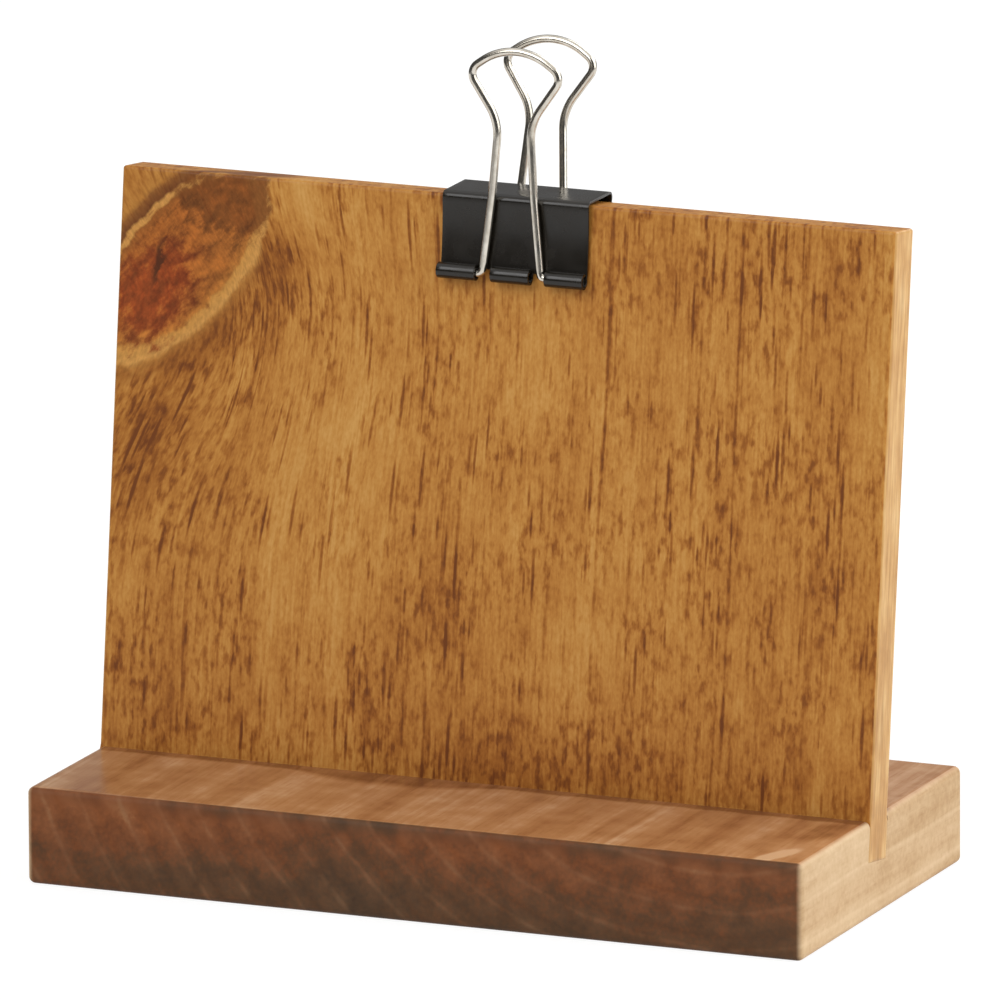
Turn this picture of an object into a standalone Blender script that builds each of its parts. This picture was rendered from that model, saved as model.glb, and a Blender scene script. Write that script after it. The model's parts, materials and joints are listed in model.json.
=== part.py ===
"""Table menu holder: a leaning wooden board in a grooved base, with a fold-back clip on its top edge.

Units are metres, +Z is up and +Y points away from the reader. The origin is the middle of the
base's underside. The clip is one strip of spring steel on the real object. Here it is divided
along its two bends, where it flexes, into a spine and two jaws. Each jaw turns about the centre
of its bend, and carries a wire arm that turns in the sleeves rolled at the jaw's foot.
"""

import math

import bmesh
import bpy
from mathutils import Matrix, Vector

# Wooden base, with a groove that runs out at both ends.
BASE_WIDTH = 0.130
BASE_DEPTH = 0.0665
BASE_HEIGHT = 0.0155
BASE_EDGE_RADIUS = 0.0011
LEDGE_DEPTH = 0.0281  # from the base's front to the board's face, on the base's top
GROOVE_DEPTH = 0.0065  # along the leaning board
GROOVE_GAP = 0.0003  # glue line round the board in its groove

# Wooden board, flush with the base at both ends.
BOARD_THICKNESS = 0.0072
BOARD_RISE = 0.0915  # face above the base, measured along the lean
BOARD_LEAN = math.radians(7)
BOARD_EDGE_RADIUS = 0.0005

# Spring strip of the clip.
CLIP_WIDTH = 0.0245
CLIP_OFFSET = 0.0020  # middle of the clip, right of the board's middle
CLIP_TILT = math.radians(7)  # of the strip's back, which lies level on the leaning board
STRIP_THICKNESS = 0.0004
SPINE_OVERHANG = 0.00125  # the spine's bends stand this far outside the board's faces
BEND_RADIUS = 0.001  # outside of the strip at a bend
FLEX_GAP = 0.0003  # between the spine and a jaw, along the bend's top
SEAT_GAP = 0.0003  # strip to board, at the front of its top edge and at each jaw
LEAF_DROP = 0.0114  # sleeve axis below the bend axis
ROLL_ANGLE = math.radians(285)  # how far a sleeve is rolled

# Notches in the rolled foot of a jaw, where the legs of its arm come out.
NOTCH_INNER = 0.0032  # half the width of the middle sleeve
NOTCH_WIDTH = 0.00265
NOTCH_RISE = 0.0005  # notch root above the sleeve axis

# Wire arms.
WIRE_DIAMETER = 0.0013
PIVOT_CLEARANCE = 0.0002  # wire to sleeve, all round
ARM_GAP = 0.0003  # wire to the strip, where the arm leans on the bend
LEG_GAP = 0.0003  # leg to the inner end of its outer sleeve
FOOT_INSET = 0.0008  # tip of the foot inside the sleeve's outer end
FOOT_BEND_RADIUS = 0.0009
LEG_KNEE_WIDTH = 0.0070  # between the legs where they turn nearly parallel
LEG_KNEE_HEIGHT = 0.0125
LEG_KNEE_RADIUS = 0.020
NECK_WIDTH = 0.0053  # between the points where leg and flare would meet
NECK_HEIGHT = 0.0239
NECK_RADIUS = 0.008
SHOULDER_WIDTH = 0.0159  # between the points where flare and crown would meet
SHOULDER_HEIGHT = 0.0316
SHOULDER_RADIUS = 0.002
CROWN_PEAK = 0.0372  # where the crown's two sides would meet
CROWN_RADIUS = 0.0096

# Facets of the curved pieces.
EDGE_SEGMENTS = 3
BEND_STEPS = 8
ROLL_STEPS = 20
FILLET_STEPS = 8
CROWN_STEPS = 14
MERGE_DISTANCE = 0.000001

# Sizes that follow from the ones above.
WIRE_RADIUS = WIRE_DIAMETER / 2
BEND_MIDDLE_RADIUS = BEND_RADIUS - STRIP_THICKNESS / 2
SLEEVE_BORE_RADIUS = WIRE_RADIUS + PIVOT_CLEARANCE
SLEEVE_MIDDLE_RADIUS = SLEEVE_BORE_RADIUS + STRIP_THICKNESS / 2
SLEEVE_RADIUS = SLEEVE_BORE_RADIUS + STRIP_THICKNESS
BEND_OUT = BOARD_THICKNESS / 2 + SPINE_OVERHANG - BEND_RADIUS
BEND_RISE = BEND_OUT * math.tan(CLIP_TILT)
PIVOT_OUT = BOARD_THICKNESS / 2 + SEAT_GAP + SLEEVE_RADIUS
NOTCH_OUTER = NOTCH_INNER + NOTCH_WIDTH

# Middle of the two bend axes above the board's top edge. There the tilted strip's underside is a
# seat gap off the rounding of the board's front edge.
EDGE_OUT = BOARD_THICKNESS / 2 - BOARD_EDGE_RADIUS
EDGE_TO_BENDS = BOARD_EDGE_RADIUS + SEAT_GAP + STRIP_THICKNESS - BEND_RADIUS
BEND_UP = EDGE_TO_BENDS / math.cos(CLIP_TILT) + EDGE_OUT * math.tan(CLIP_TILT) - BOARD_EDGE_RADIUS

# Sleeve axis seen from the bend axis: distance, and angle outward from straight down.
PIVOT_FROM_BEND = Vector((PIVOT_OUT - BEND_OUT, -LEAF_DROP))
PIVOT_DISTANCE = PIVOT_FROM_BEND.length
PIVOT_ANGLE = math.atan2(PIVOT_FROM_BEND.x, -PIVOT_FROM_BEND.y)

FRONT = -1
REAR = 1


def clear_scene():
    for obj in list(bpy.data.objects):
        bpy.data.objects.remove(obj)


def new_collection(name):
    collection = bpy.data.collections.new(name)
    bpy.context.scene.collection.children.link(collection)
    return collection


def new_material(name, colour, roughness, metallic=0.0):
    material = bpy.data.materials.new(name)
    material.use_nodes = True
    shader = material.node_tree.nodes["Principled BSDF"]
    shader.inputs["Base Color"].default_value = (*colour, 1.0)
    shader.inputs["Roughness"].default_value = roughness
    shader.inputs["Metallic"].default_value = metallic
    return material


def place(obj, collection, parent=None, location=(0, 0, 0), lean=0.0):
    """Links an object, and sets it in its parent's frame, turned about X by lean."""
    collection.objects.link(obj)
    obj.parent = parent
    obj.location = location
    obj.rotation_euler = (lean, 0, 0)
    return obj


def new_frame(name, collection, parent=None, location=(0, 0, 0), lean=0.0):
    """An empty that carries the pieces of one frame."""
    return place(bpy.data.objects.new(name, None), collection, parent, location, lean)


def new_box(name, size, material=None):
    """A box of that size about its own middle."""
    mesh = bpy.data.meshes.new(name)
    shape = bmesh.new()
    bmesh.ops.create_cube(shape, size=1, matrix=Matrix.Diagonal((*size, 1)))
    shape.to_mesh(mesh)
    shape.free()
    if material:
        mesh.materials.append(material)
    return bpy.data.objects.new(name, mesh)


def round_edges(obj, radius, segments):
    bevel = obj.modifiers.new("rounded edges", "BEVEL")
    bevel.width = radius
    bevel.segments = segments
    bevel.limit_method = "ANGLE"


def make_base(parts, cutters, board_frame, material):
    """The base block, with the board's groove cut through it from end to end."""
    base = new_box("base", (BASE_WIDTH, BASE_DEPTH, BASE_HEIGHT), material)
    place(base, parts, location=(0, 0, BASE_HEIGHT / 2))
    round_edges(base, BASE_EDGE_RADIUS, EDGE_SEGMENTS)

    # The cutter stands in the groove, and runs as far above its floor as twice its depth.
    groove_width = BOARD_THICKNESS + 2 * GROOVE_GAP
    cutter_height = 2 * GROOVE_DEPTH
    cutter = new_box("groove_cutter", (2 * BASE_WIDTH, groove_width, cutter_height))
    place(cutter, cutters, board_frame, (0, BOARD_THICKNESS / 2, cutter_height / 2 - GROOVE_DEPTH))
    cutter.hide_render = True
    cutter.display_type = "WIRE"
    groove = base.modifiers.new("groove", "BOOLEAN")
    groove.operation = "DIFFERENCE"
    groove.object = cutter
    return base


def make_board(parts, board_frame, material):
    """The board, from just above the groove's floor to its top edge."""
    sunk = GROOVE_DEPTH - GROOVE_GAP
    board = new_box("back_board", (BASE_WIDTH, BOARD_THICKNESS, BOARD_RISE + sunk), material)
    place(board, parts, board_frame, (0, BOARD_THICKNESS / 2, (BOARD_RISE - sunk) / 2))
    round_edges(board, BOARD_EDGE_RADIUS, EDGE_SEGMENTS)
    return board


def make_spine(parts, clip_frame, material):
    """The flat back of the strip between the two bends, level across the board's top edge."""
    depth = 2 * (BEND_OUT / math.cos(CLIP_TILT) - FLEX_GAP)
    spine = new_box("clip_spine", (CLIP_WIDTH, depth, STRIP_THICKNESS), material)
    middle = Matrix.Rotation(CLIP_TILT, 3, "X") @ Vector((0, 0, BEND_MIDDLE_RADIUS))
    return place(spine, parts, clip_frame, middle + Vector((0, 0, BEND_UP)), CLIP_TILT)


def bend_place(side):
    """Axis of the bend on that side of the board. The rear bend is the higher one."""
    return Vector((0, side * BEND_OUT, BEND_UP + side * BEND_RISE))


def tangent_lean(offset):
    """Angle off the board's plane of a line that passes the bend axis at that distance, and runs
    to or past the sleeve axis: its offset is the sum of its distances to the two axes."""
    return math.asin(offset / PIVOT_DISTANCE) - PIVOT_ANGLE


def jaw_profile(side):
    """Middle line of a jaw as (outward, up) points from its bend axis: bend, leaf and rolled foot.

    Also returns the index of the point at the notch root."""
    lean = tangent_lean(BEND_MIDDLE_RADIUS + SLEEVE_MIDDLE_RADIUS)
    outward = Vector((math.cos(lean), -math.sin(lean)))
    down = Vector((-math.sin(lean), -math.cos(lean)))
    points = []
    bend_start = math.pi / 2 + side * CLIP_TILT
    for step in range(BEND_STEPS + 1):
        turn = bend_start - (bend_start + lean) * step / BEND_STEPS
        points.append(BEND_MIDDLE_RADIUS * Vector((math.cos(turn), math.sin(turn))))
    leaf_end = PIVOT_FROM_BEND - SLEEVE_MIDDLE_RADIUS * outward
    notch_root = len(points)
    points.append(leaf_end - NOTCH_RISE * down)
    for step in range(ROLL_STEPS + 1):
        turn = ROLL_ANGLE * step / ROLL_STEPS
        roll = math.sin(turn) * down - math.cos(turn) * outward
        points.append(PIVOT_FROM_BEND + SLEEVE_MIDDLE_RADIUS * roll)
    return points, notch_root


def draw_across(shape, profile, side, stages):
    """Draws a profile out along X, from the first stage through the others, as an open surface."""
    chain = [shape.verts.new((stages[0], side * out, up)) for out, up in profile]
    edges = [shape.edges.new(pair) for pair in zip(chain, chain[1:])]
    for start, end in zip(stages, stages[1:]):
        drawn = bmesh.ops.extrude_edge_only(shape, edges=edges)["geom"]
        moved = [item for item in drawn if isinstance(item, bmesh.types.BMVert)]
        bmesh.ops.translate(shape, verts=moved, vec=(end - start, 0, 0))
        edges = [item for item in drawn if isinstance(item, bmesh.types.BMEdge)]
        edges = [edge for edge in edges if all(vert in moved for vert in edge.verts)]


def make_jaw(name, side, parts, clip_frame, material):
    """One bend of the strip with its leaf and its three rolled sleeves, as a surface with Solidify.

    The leaf is as wide as the clip. The sleeves leave a notch between them for each leg."""
    profile, notch_root = jaw_profile(side)
    stages = (-CLIP_WIDTH / 2, -NOTCH_OUTER, -NOTCH_INNER, NOTCH_INNER, NOTCH_OUTER, CLIP_WIDTH / 2)
    shape = bmesh.new()
    draw_across(shape, profile[:notch_root + 1], side, stages)
    for sleeve in range(0, len(stages), 2):
        draw_across(shape, profile[notch_root:], side, stages[sleeve:sleeve + 2])
    bmesh.ops.remove_doubles(shape, verts=shape.verts, dist=MERGE_DISTANCE)
    bmesh.ops.recalc_face_normals(shape, faces=shape.faces)
    for face in shape.faces:
        face.smooth = True
    for edge in shape.edges:
        edge.smooth = not edge.is_boundary
    mesh = bpy.data.meshes.new(name)
    shape.to_mesh(mesh)
    shape.free()
    mesh.materials.append(material)
    jaw = place(bpy.data.objects.new(name, mesh), parts, clip_frame, bend_place(side))
    strip = jaw.modifiers.new("strip thickness", "SOLIDIFY")
    strip.thickness = STRIP_THICKNESS
    strip.offset = 0
    strip.use_even_offset = True
    return jaw


def fillet(before, corner, after, radius, steps):
    """Points of an arc of that radius which rounds a corner between two straight runs."""
    back = (before - corner).normalized()
    ahead = (after - corner).normalized()
    half_corner = back.angle(ahead) / 2
    centre = corner + (back + ahead).normalized() * radius / math.sin(half_corner)
    start = corner + back * radius / math.tan(half_corner) - centre
    end = corner + ahead * radius / math.tan(half_corner) - centre
    turn = start.angle_signed(end)
    return [centre + Matrix.Rotation(-turn * step / steps, 2) @ start for step in range(steps + 1)]


def arm_path():
    """Middle line of an arm as (across, along) points from its pivot axis: from the tip of one foot,
    up its leg, over the crown, and down to the tip of the other."""
    foot_tip = CLIP_WIDTH / 2 - FOOT_INSET
    leg_foot = NOTCH_OUTER - LEG_GAP - WIRE_RADIUS
    corners = (
        (leg_foot, 0.0, FOOT_BEND_RADIUS, FILLET_STEPS),
        (LEG_KNEE_WIDTH / 2, LEG_KNEE_HEIGHT, LEG_KNEE_RADIUS, FILLET_STEPS),
        (NECK_WIDTH / 2, NECK_HEIGHT, NECK_RADIUS, FILLET_STEPS),
        (SHOULDER_WIDTH / 2, SHOULDER_HEIGHT, SHOULDER_RADIUS, FILLET_STEPS),
        (0.0, CROWN_PEAK, CROWN_RADIUS, CROWN_STEPS),
    )
    mirrored = [(-across, *rest) for across, *rest in corners[-2::-1]]
    nodes = [(foot_tip, 0.0, 0.0, 0), *corners, *mirrored, (-foot_tip, 0.0, 0.0, 0)]
    spots = [Vector(node[:2]) for node in nodes]
    path = [spots[0]]
    for index in range(1, len(nodes) - 1):
        radius, steps = nodes[index][2:]
        path += fillet(spots[index - 1], spots[index], spots[index + 1], radius, steps)
    return [*path, spots[-1]]


def make_arm(name, side, parts, clip_frame, material):
    """A wire arm with its feet in the outer sleeves, standing up against the bend of its jaw."""
    curve = bpy.data.curves.new(name, "CURVE")
    curve.dimensions = "3D"
    curve.bevel_depth = WIRE_RADIUS
    curve.bevel_resolution = 2
    curve.use_fill_caps = True
    curve.materials.append(material)
    path = arm_path()
    spline = curve.splines.new("POLY")
    spline.points.add(len(path) - 1)
    for point, (across, along) in zip(spline.points, path):
        point.co = (across, 0, along, 1)
    outward_lean = tangent_lean(BEND_RADIUS + ARM_GAP + WIRE_RADIUS)
    pivot = bend_place(side) + Vector((0, side * PIVOT_FROM_BEND.x, PIVOT_FROM_BEND.y))
    arm = bpy.data.objects.new(name, curve)
    return place(arm, parts, clip_frame, pivot, -side * outward_lean)


def main():
    clear_scene()
    parts = new_collection("menu_holder")
    cutters = new_collection("cutters")
    base_wood = new_material("base_wood", (0.29, 0.14, 0.06), 0.55)
    board_wood = new_material("board_wood", (0.45, 0.21, 0.05), 0.5)
    black_steel = new_material("black_steel", (0.015, 0.014, 0.013), 0.3)
    plated_wire = new_material("plated_wire", (0.62, 0.60, 0.56), 0.22, 1.0)

    board_foot = (0, LEDGE_DEPTH - BASE_DEPTH / 2, BASE_HEIGHT)
    board_frame = new_frame("board_frame", parts, None, board_foot, -BOARD_LEAN)
    top_edge = (CLIP_OFFSET, BOARD_THICKNESS / 2, BOARD_RISE)
    clip_frame = new_frame("clip_frame", parts, board_frame, top_edge)

    make_base(parts, cutters, board_frame, base_wood)
    make_board(parts, board_frame, board_wood)
    make_spine(parts, clip_frame, black_steel)
    make_jaw("clip_front_jaw", FRONT, parts, clip_frame, black_steel)
    make_jaw("clip_rear_jaw", REAR, parts, clip_frame, black_steel)
    make_arm("front_arm", FRONT, parts, clip_frame, plated_wire)
    make_arm("rear_arm", REAR, parts, clip_frame, plated_wire)


main()
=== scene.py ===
import json
import math

import bmesh
import bpy
import numpy as np
from mathutils import Matrix, Vector


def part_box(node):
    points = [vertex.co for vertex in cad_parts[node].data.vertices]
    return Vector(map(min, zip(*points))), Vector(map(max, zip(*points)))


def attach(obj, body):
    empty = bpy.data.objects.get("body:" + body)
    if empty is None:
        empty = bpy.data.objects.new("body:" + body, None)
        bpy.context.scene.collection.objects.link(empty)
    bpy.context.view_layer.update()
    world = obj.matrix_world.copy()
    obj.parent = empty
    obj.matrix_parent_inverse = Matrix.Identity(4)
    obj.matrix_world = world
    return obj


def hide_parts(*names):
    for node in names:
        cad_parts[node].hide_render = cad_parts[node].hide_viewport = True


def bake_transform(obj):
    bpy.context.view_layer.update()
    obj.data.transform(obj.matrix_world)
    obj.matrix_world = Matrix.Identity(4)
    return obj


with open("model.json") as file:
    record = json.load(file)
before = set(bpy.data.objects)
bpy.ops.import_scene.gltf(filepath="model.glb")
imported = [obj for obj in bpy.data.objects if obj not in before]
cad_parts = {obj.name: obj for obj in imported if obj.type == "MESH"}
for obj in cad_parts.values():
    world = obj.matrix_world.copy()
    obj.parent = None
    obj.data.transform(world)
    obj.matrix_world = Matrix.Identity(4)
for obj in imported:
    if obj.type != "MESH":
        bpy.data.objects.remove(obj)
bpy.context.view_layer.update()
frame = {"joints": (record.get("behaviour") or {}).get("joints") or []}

# The viewpoint. A long lens stands a little above the table, to the right of the board's middle,
# and looks down at the middle of the holder.
MM = 0.001
VIEW_YAW = math.radians(23.01)
VIEW_PITCH = math.radians(13.49)
VIEW_ROLL = math.radians(-0.336)
VIEW_DISTANCE = 3038.2 * MM
VIEW_CENTRE = Vector((0, 0, 50 * MM))
VIEW_ASIDE = 1.06 * MM
VIEW_ABOVE = 9.38 * MM
VIEW_REACH = 10
LENS_LENGTH = 705.1
SENSOR_WIDTH = 36

look = Vector((
    -math.sin(VIEW_YAW) * math.cos(VIEW_PITCH),
    math.cos(VIEW_YAW) * math.cos(VIEW_PITCH),
    -math.sin(VIEW_PITCH),
))
aside = Vector((math.cos(VIEW_YAW), math.sin(VIEW_YAW), 0))
above = aside.cross(look)
eye = VIEW_CENTRE + aside * VIEW_ASIDE + above * VIEW_ABOVE - look * VIEW_DISTANCE
upright = Matrix((aside, above, -look)).transposed()
camera_data = bpy.data.cameras.new("viewpoint")
camera_data.lens = LENS_LENGTH
camera_data.sensor_width = SENSOR_WIDTH
camera_data.clip_end = VIEW_REACH
camera = bpy.data.objects.new("viewpoint", camera_data)
camera.matrix_world = Matrix.Translation(eye) @ (upright @ Matrix.Rotation(VIEW_ROLL, 3, "Z")).to_4x4()
bpy.context.scene.collection.objects.link(camera)
bpy.context.scene.camera = camera


# Base. One block of hardwood with its grain running front to back, so that its front shows end
# grain, which drinks up the stain and turns dark. All edges are sanded round, and a groove for
# the board is sawn right through its top, leaning back.
BASE_EDGE = 1.1 * MM
BASE_GRID = 8 * MM
BASE_SHARP = math.radians(35)
DOUBLED = 0.0001 * MM
GROOVE_DEPTH = 6.4 * MM
GROOVE_CORNER = 0.05 * MM
GROOVE_GRID = 100 * MM
GLUE_LINE = 0.01 * MM
LEDGE_DEPTH = 28.1 * MM
BOARD_THICKNESS = 7.2 * MM
BOARD_RISE = 91.5 * MM
BOARD_LEAN = math.radians(7)
base_low, base_high = (np.array(corner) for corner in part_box("base"))
board_foot = Vector((0, base_low[1] + LEDGE_DEPTH, base_high[2]))
board_place = Matrix.Translation(board_foot) @ Matrix.Rotation(-BOARD_LEAN, 4, "X")


def side_stops(length, spacing, support):
    """Distances along a flat side, from its start to its end: even steps, with a close one at each
    end, so that the shading of the rounded edge doesn't run on over the flat."""
    count = max(2, round((length - 2 * support) / spacing))
    return np.concatenate(([0], np.linspace(support, length - support, count), [length]))


def eased_block(low, high, edge, spacing, steps=5, support=0.4 * MM):
    """A block with rounded edges: every vertex is a point of an inner box, which is smaller by the
    edge radius all round, pushed out by that radius along a unit normal.

    One parameter runs round the block's YZ outline, the other along X and over the two rounded
    ends. Returns the vertices and the faces."""
    inner_low, inner_high = low + edge, high - edge
    turn = np.linspace(0, math.pi / 2, steps + 1)
    outline, normals = [], []
    corners = ((0, 0), (0, 1), (1, 1), (1, 0))
    for index, (back, top) in enumerate(corners):
        corner = np.array([(inner_low, inner_high)[back][1], (inner_low, inner_high)[top][2]])
        angle = math.pi * 1.5 - index * math.pi / 2 - turn
        outline.append(np.tile(corner, (len(turn), 1)))
        normals.append(np.stack([np.cos(angle), np.sin(angle)], 1))
        next_back, next_top = corners[(index + 1) % 4]
        end = np.array([(inner_low, inner_high)[next_back][1], (inner_low, inner_high)[next_top][2]])
        stops = side_stops(np.linalg.norm(end - corner), spacing, support)[1:-1, None]
        outline.append(corner + (end - corner) / np.linalg.norm(end - corner) * stops)
        normals.append(np.tile(normals[-1][-1], (len(stops), 1)))
    outline, normals = np.concatenate(outline), np.concatenate(normals)
    flats = side_stops(inner_high[0] - inner_low[0], spacing, support) + inner_low[0]
    along = np.concatenate((np.full(steps, inner_low[0]), flats, np.full(steps, inner_high[0])))
    tilt = np.concatenate((turn[:-1] - math.pi / 2, np.zeros(len(flats)), turn[1:]))
    grid = np.empty((len(along), len(outline), 3))
    grid[..., 0] = (along + edge * np.sin(tilt))[:, None]
    grid[..., 1:] = outline + edge * np.cos(tilt)[:, None, None] * normals
    middle = (inner_low + inner_high)[1:] / 2
    half = (inner_high - inner_low)[1:] / 2 - support
    cap = middle + np.clip(outline - middle, -half, half)
    left_cap = np.insert(cap, 0, low[0], axis=1)
    right_cap = np.insert(cap, 0, high[0], axis=1)
    rings = np.concatenate((left_cap[None], grid, right_cap[None]))
    count = rings.shape[1]
    index = np.arange(rings.shape[0] * count).reshape(rings.shape[:2])
    here, right = index[:-1], index[1:]
    quads = np.stack([here, np.roll(here, -1, 1), np.roll(right, -1, 1), right], -1).reshape(-1, 4)
    faces = quads.tolist() + [index[0][::-1].tolist(), index[-1].tolist()]
    return rings.reshape(-1, 3), faces


def new_piece(name, vertices, faces, place=Matrix.Identity(4)):
    """A smooth mesh object at the origin, with doubled points merged and faces turned outwards."""
    mesh = bpy.data.meshes.new(name)
    turned = vertices @ np.array(place.to_3x3()).T + np.array(place.translation)
    mesh.from_pydata(turned, [], faces)
    shape = bmesh.new()
    shape.from_mesh(mesh)
    bmesh.ops.remove_doubles(shape, verts=shape.verts, dist=DOUBLED)
    bmesh.ops.recalc_face_normals(shape, faces=shape.faces)
    shape.to_mesh(mesh)
    shape.free()
    mesh.shade_smooth()
    piece = bpy.data.objects.new(name, mesh)
    bpy.context.scene.collection.objects.link(piece)
    return piece


def finish_mesh(piece, sharp_angle):
    """Applies a piece's modifiers, and marks the edges that stay sharp."""
    graph = bpy.context.evaluated_depsgraph_get()
    mesh = bpy.data.meshes.new_from_object(piece.evaluated_get(graph))
    piece.modifiers.clear()
    piece.data = mesh
    mesh.shade_smooth()
    mesh.set_sharp_from_angle(angle=sharp_angle)


def linear(colour):
    """An sRGB hex colour as linear red, green, blue and alpha."""
    parts = np.array([int(colour[i:i + 2], 16) for i in (1, 3, 5)]) / 255
    parts = np.where(parts <= 0.04045, parts / 12.92, ((parts + 0.055) / 1.055) ** 2.4)
    return (*parts.tolist(), 1.0)


def add(tree, kind, inputs=None, out=0, **settings):
    """Adds a node with its settings and returns one of its outputs. An input is a value to set, or
    another node's output to link. A colour ramp's stops are places with their hex colours.

    Inputs go by name or by number. On a MapRange, 1 and 2 are the range it maps from, and 3 and 4
    the one it maps to. A Mix goes by its factor 0 from 2 to 3, or with colours from 6 to 7."""
    node = tree.nodes.new("ShaderNode" + kind)
    stops = settings.pop("stops", ())
    for name, value in settings.items():
        setattr(node, name, value)
    for key, value in (inputs or {}).items():
        if isinstance(value, bpy.types.NodeSocket):
            tree.links.new(value, node.inputs[key])
        else:
            node.inputs[key].default_value = value
    for number, (place, colour) in enumerate(stops):
        ramp = node.color_ramp.elements
        element = ramp[number] if number < len(ramp) else ramp.new(1)
        element.position = place
        element.color = linear(colour)
    return node.outputs[out]


def new_material(name, **finish):
    """A material with its node tree and its Principled shader, set to plain values."""
    material = bpy.data.materials.new(name)
    material.use_nodes = True
    shader = material.node_tree.nodes["Principled BSDF"]
    for socket, value in finish.items():
        shader.inputs[socket.replace("_", " ")].default_value = value
    return material, material.node_tree, shader


base_vertices, base_faces = eased_block(base_low, base_high, BASE_EDGE, BASE_GRID)
base = new_piece("base_block", base_vertices, base_faces)
saw_low = np.array([2 * base_low[0], -GLUE_LINE, -GROOVE_DEPTH])
saw_high = np.array([2 * base_high[0], BOARD_THICKNESS + GLUE_LINE, 2 * GROOVE_DEPTH])
saw_vertices, saw_faces = eased_block(saw_low, saw_high, GROOVE_CORNER, GROOVE_GRID, steps=1)
saw = new_piece("groove_saw", saw_vertices, saw_faces, board_place)
cut = base.modifiers.new("groove", "BOOLEAN")
cut.object = saw
cut.solver = "EXACT"
finish_mesh(base, BASE_SHARP)
bpy.data.objects.remove(saw)

# Brown stained hardwood, sanded and lacquered. The top is pinkish brown and glossy, with faint streaks
# along the grain. The two ends are dull, and painted paler than the top: painted light, the same wood
# lit strongly from the right. End grain, on the front and back, is dull too: it drinks the stain and
# turns dark, and is darker still low down. The year rings curve across it as pale lines with dark ones
# beside them, steep at the left and level at the right. Their middle, their spacing and how far they
# waver are in millimetres.
RING_PITH = (50, 0, 62)
RING_SPACING = 6.05
RING_WAVER = 2.0
RING_LINE = "#86664A"
SHADOW_AND_STAIN_WIDE_AT = -14 * MM
SHADOW_AND_STAIN_NARROW = 1.4 * MM
SHADOW_AND_STAIN_WIDE = 5.4 * MM
SHADOW_AND_STAIN_WAVER = 2.2 * MM
LONG_GRAIN = [(0.0, "#7A4B28"), (0.3, "#98653D"), (0.5, "#A8764B"), (0.7, "#B58459"), (1.0, "#CDA47C")]
END_GRAIN = [
    (0.0, "#3C2818"), (0.22, "#48321F"), (0.42, "#57371E"), (0.6, "#6C3C1C"), (0.8, "#804822"),
    (1.0, "#966139"),
]
# The ends' colours are paler than the top's: painted light, for wood lit strongly from the right.
SIDE_GRAIN_PAINTED_LIGHT = [(0.0, "#A47F55"), (0.35, "#B7976F"), (0.55, "#C0A17B"), (1.0, "#CEB38E")]

base_wood, tree, shader = new_material("brown_stained_hardwood", Specular_IOR_Level=0.25)
space = add(tree, "TexCoord", out="Object")
across, rearward, level = add(tree, "SeparateXYZ", {0: space}).node.outputs

# Each layer is a noise whose marks are so many millimetres across the grain, along it and upwards.
layers = {}
for name, *marks, detail in (
    ("waver", 14.29, 62.5, 14.29, 2), ("patch", 31.25, 31.25, 14.29, 2), ("band", 7.143, 83.33, 7.143, 2),
    ("streak", 0.9091, 41.67, 0.9091, 3), ("blotch", 4.167, 4.167, 4.167, 3),
    ("speck", 0.7692, 0.7692, 0.7692, 2), ("pore", 0.3333, 4.545, 0.3333, 1),
):
    scaled = add(tree, "Mapping", {"Vector": space, "Scale": [1 / (size * MM) for size in marks]})
    layers[name] = add(tree, "TexNoise", {"Vector": scaled, "Scale": 1, "Detail": detail})
waver = layers["waver"].node.outputs["Color"]
pith = [-place for place in RING_PITH]
pith = add(tree, "Mapping", {"Vector": space, "Location": pith, "Scale": (1 / MM, 0, 1 / MM)})
pith = add(tree, "VectorMath", {
    0: waver, 1: (RING_WAVER, 0, RING_WAVER), 2: pith,
}, operation="MULTIPLY_ADD")
ring = add(tree, "VectorMath", {0: pith}, out="Value", operation="LENGTH")
ring = add(tree, "Math", {0: ring, 1: RING_SPACING}, operation="DIVIDE")
ring = add(tree, "Math", {0: ring}, operation="FRACT")
early_wood = add(tree, "ValToRGB", {"Fac": ring}, stops=[
    (0.0, "#FFFFFF"), (0.09, "#ADADAD"), (0.42, "#999999"), (0.62, "#000000"), (0.78, "#909090"),
    (0.9, "#ADADAD"), (0.97, "#FFFFFF"),
])

# Along the grain run wide bands and narrow streaks, with blotches over them and fine dark pores. The
# ends are the same wood, speckled. Behind the board the top is painted paler, a painted pool of light,
# and the ends are darker.
painted_light_behind_board = add(tree, "MapRange", {"Value": rearward, 1: 2 * MM, 2: 6 * MM, 3: 0, 4: 0.25})
pore = add(tree, "MapRange", {
    "Value": layers["pore"], 1: 0.58, 2: 0.72,
}, interpolation_type="SMOOTHSTEP")
tone = -0.58
for layer, strength in (
    (layers["streak"], 0.4), (layers["band"], 1.3), (layers["blotch"], 0.6), (early_wood, 0.10),
    (pore, -0.10),
):
    tone = add(tree, "Math", {0: layer, 1: strength, 2: tone}, operation="MULTIPLY_ADD")
side_tone = add(tree, "Math", {0: layers["speck"], 1: 0.6, 2: -0.36}, operation="MULTIPLY_ADD")
side_tone = add(tree, "Math", {0: early_wood, 1: 0.35, 2: side_tone}, operation="MULTIPLY_ADD")
side_behind = add(tree, "MapRange", {"Value": rearward, 1: -10 * MM, 2: 2 * MM, 3: 0, 4: -0.24})
for lift in (tone, side_behind):
    side_tone = add(tree, "Math", {0: side_tone, 1: lift}, operation="ADD")
side_grain_painted_light = add(tree, "ValToRGB", {"Fac": side_tone}, stops=SIDE_GRAIN_PAINTED_LIGHT)
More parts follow.
